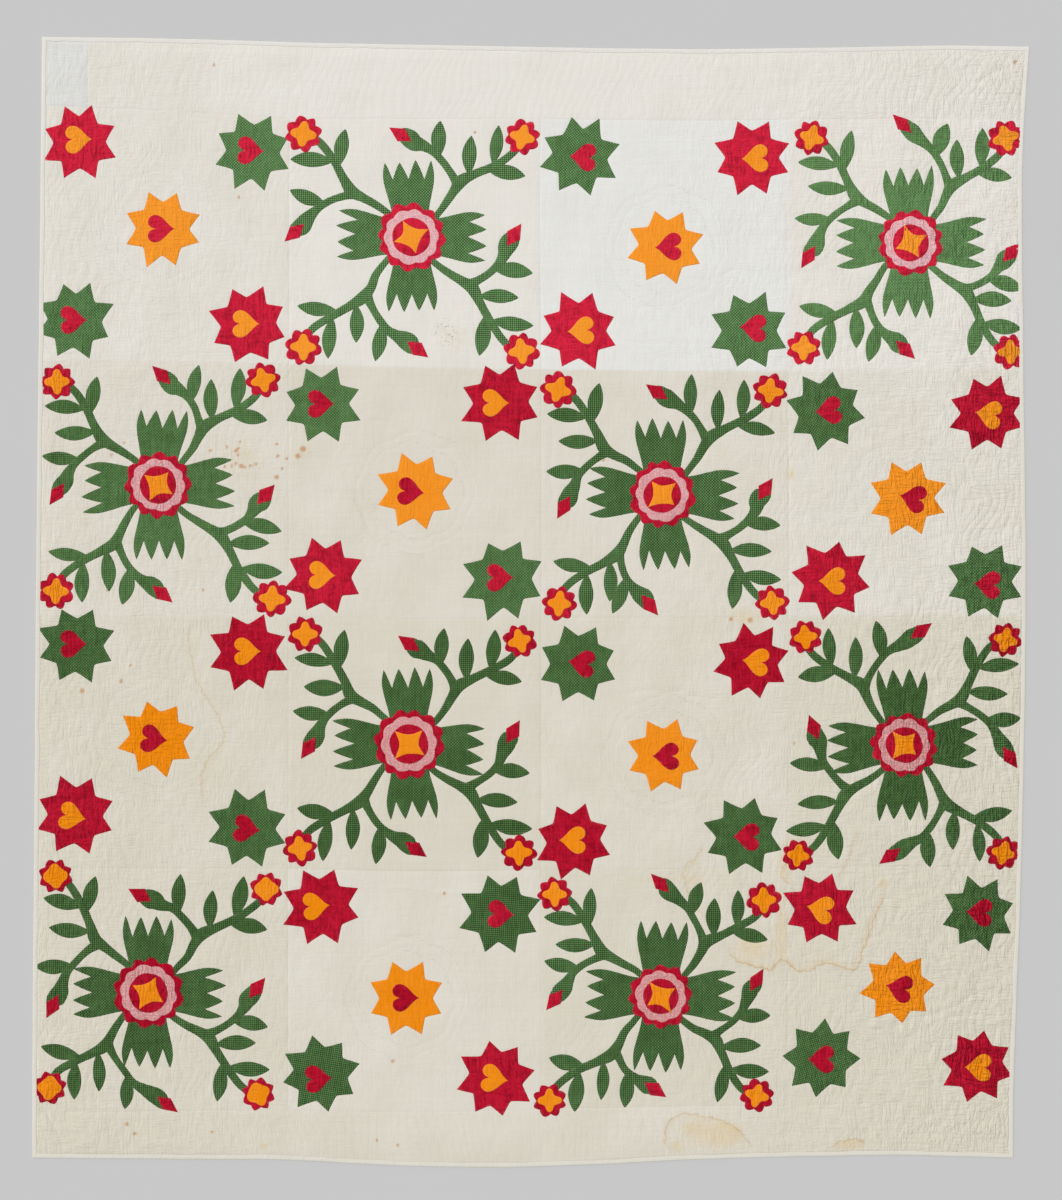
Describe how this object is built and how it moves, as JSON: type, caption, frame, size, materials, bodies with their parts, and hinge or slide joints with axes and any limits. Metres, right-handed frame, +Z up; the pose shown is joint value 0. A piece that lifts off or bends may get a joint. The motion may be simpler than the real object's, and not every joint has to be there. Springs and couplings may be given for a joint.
{
  "type": "applique quilt",
  "caption": "Bed quilt lying flat: pieced muslin blocks with coxcomb roses and eight-pointed stars with hearts, quilted and bound.",
  "frame": {"origin": "on the surface the quilt lies on, under the middle of its box", "axes": "+Z up out of the face of the quilt, +Y towards the head edge, +X to the right of someone who stands at the foot edge"},
  "size_m": [2.044, 2.3168, 0.0053],
  "materials": {
    "muslin": "plain-woven unbleached cotton muslin, washed and lightly stained, matt",
    "binding": "narrow straight binding of whiter plain-woven cotton, matt",
    "backing": "plain-woven cotton backing, matt",
    "green_print": "green cotton with a fine dark pin check, matt",
    "turkey_red": "plain red cotton, matt",
    "orange": "plain orange cotton, matt",
    "pink_print": "pink cotton with a tiny darker print, matt"
  },
  "bodies": {
    "root": {"quilt_body": "muslin", "binding_top": "binding", "binding_bottom": "binding", "binding_left": "binding", "binding_right": "binding"}
  },
  "joints": []
}
